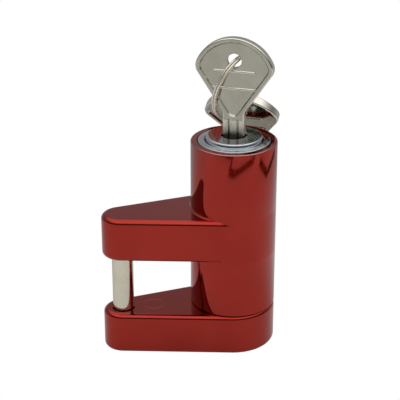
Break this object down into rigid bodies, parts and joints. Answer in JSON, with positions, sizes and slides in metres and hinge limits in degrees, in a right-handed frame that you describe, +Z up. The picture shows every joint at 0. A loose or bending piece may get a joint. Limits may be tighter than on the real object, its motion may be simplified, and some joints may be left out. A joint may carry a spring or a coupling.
{
  "type": "disc brake lock",
  "caption": "Compact disc brake lock: round barrel with a key cylinder, tapered upper arm with a locking pin, loose base arm, and two flat keys on a split ring.",
  "frame": {"origin": "on the barrel's axis, in the plane of the base's underside", "axes": "+Z up the barrel towards the key, the two arms and the locking pin lie towards -X"},
  "size_m": [0.0645, 0.0514, 0.1049],
  "materials": {
    "red_coat": "transparent candy red over bright metal, glossy",
    "nickel_plate": "bright nickel plate",
    "pin_plate": "bright plate over hardened steel",
    "chrome": "polished chrome plate",
    "brass": "machined",
    "steel": "hardened steel",
    "dark_steel": "black oxide",
    "rubber": "matt",
    "black_plastic": "matt"
  },
  "bodies": {
    "body": {"body": "red_coat", "locking_pin": "pin_plate", "bezel_ring": "chrome", "cylinder_housing": "brass", "cylinder_oring": "rubber", "cylinder_dowel": "steel"},
    "base": {"base_plate": "red_coat", "base_post": "steel", "post_oring": "rubber", "post_screw": "dark_steel", "base_plug": "black_plastic"},
    "plug": {"plug": "brass", "plug_cap": "chrome", "plug_clip": "steel", "wafer_springs": "steel", "cam": "brass", "cam_screw": "steel"},
    "ball_left": {"ball_left": "steel"},
    "ball_right": {"ball_right": "steel"},
    "wafer_1": {"wafer_1": "brass"},
    "wafer_2": {"wafer_2": "brass"},
    "wafer_3": {"wafer_3": "brass"},
    "wafer_4": {"wafer_4": "brass"},
    "wafer_5": {"wafer_5": "brass"},
    "wafer_6": {"wafer_6": "brass"},
    "key": {"key": "nickel_plate"},
    "split_ring": {"split_ring": "nickel_plate"},
    "spare_key": {"spare_key": "nickel_plate"}
  },
  "joints": [
    {"name": "base_release", "type": "slide", "parent": "body", "child": "base", "axis": [0, 0, -1], "range_m": [0, 0.03]},
    {"name": "key_turn", "type": "hinge", "parent": "body", "child": "plug", "pos_m": [0, 0, 0.06], "axis": [0, 0, -1], "range_deg": [0, 90]},
    {"name": "ball_left_out", "type": "slide", "parent": "base", "child": "ball_left", "axis": [-1, 0, 0], "range_m": [0, 0.0015]},
    {"name": "ball_right_out", "type": "slide", "parent": "base", "child": "ball_right", "axis": [1, 0, 0], "range_m": [0, 0.0015]},
    {"name": "key_insert", "type": "slide", "parent": "plug", "child": "key", "axis": [0, 0, 1], "range_m": [0, 0.026]},
    {"name": "wafer_1_drop", "type": "slide", "parent": "plug", "child": "wafer_1", "axis": [0.8988, -0.4384, 0], "range_m": [0, 0.0012]},
    {"name": "wafer_2_drop", "type": "slide", "parent": "plug", "child": "wafer_2", "axis": [-0.8988, 0.4384, 0], "range_m": [0, 0.0012]},
    {"name": "wafer_3_drop", "type": "slide", "parent": "plug", "child": "wafer_3", "axis": [0.8988, -0.4384, 0], "range_m": [0, 0.0012]},
    {"name": "wafer_4_drop", "type": "slide", "parent": "plug", "child": "wafer_4", "axis": [-0.8988, 0.4384, 0], "range_m": [0, 0.0012]},
    {"name": "wafer_5_drop", "type": "slide", "parent": "plug", "child": "wafer_5", "axis": [0.8988, -0.4384, 0], "range_m": [0, 0.0012]},
    {"name": "wafer_6_drop", "type": "slide", "parent": "plug", "child": "wafer_6", "axis": [-0.8988, 0.4384, 0], "range_m": [0, 0.0012]},
    {"name": "ring_swing", "type": "hinge", "parent": "key", "child": "split_ring", "pos_m": [0.00036, -0.00018, 0.09735], "axis": [-0.4384, -0.8988, 0], "range_deg": [-8, 3]},
    {"name": "spare_swing", "type": "hinge", "parent": "split_ring", "child": "spare_key", "pos_m": [0.00468, 0.012, 0.07676], "axis": [0.8092, 0.4741, 0.347], "range_deg": [-10, 10]}
  ],
  "couplings": [
    {"joint": "ball_left_out", "follows": "key_turn", "m_per_rad": 0.00095492},
    {"joint": "ball_right_out", "follows": "key_turn", "m_per_rad": 0.00095492},
    {"joint": "wafer_1_drop", "follows": "key_insert", "ratio": 0.046153},
    {"joint": "wafer_2_drop", "follows": "key_insert", "ratio": 0.046153},
    {"joint": "wafer_3_drop", "follows": "key_insert", "ratio": 0.046153},
    {"joint": "wafer_4_drop", "follows": "key_insert", "ratio": 0.046153},
    {"joint": "wafer_5_drop", "follows": "key_insert", "ratio": 0.046153},
    {"joint": "wafer_6_drop", "follows": "key_insert", "ratio": 0.046153}
  ]
}
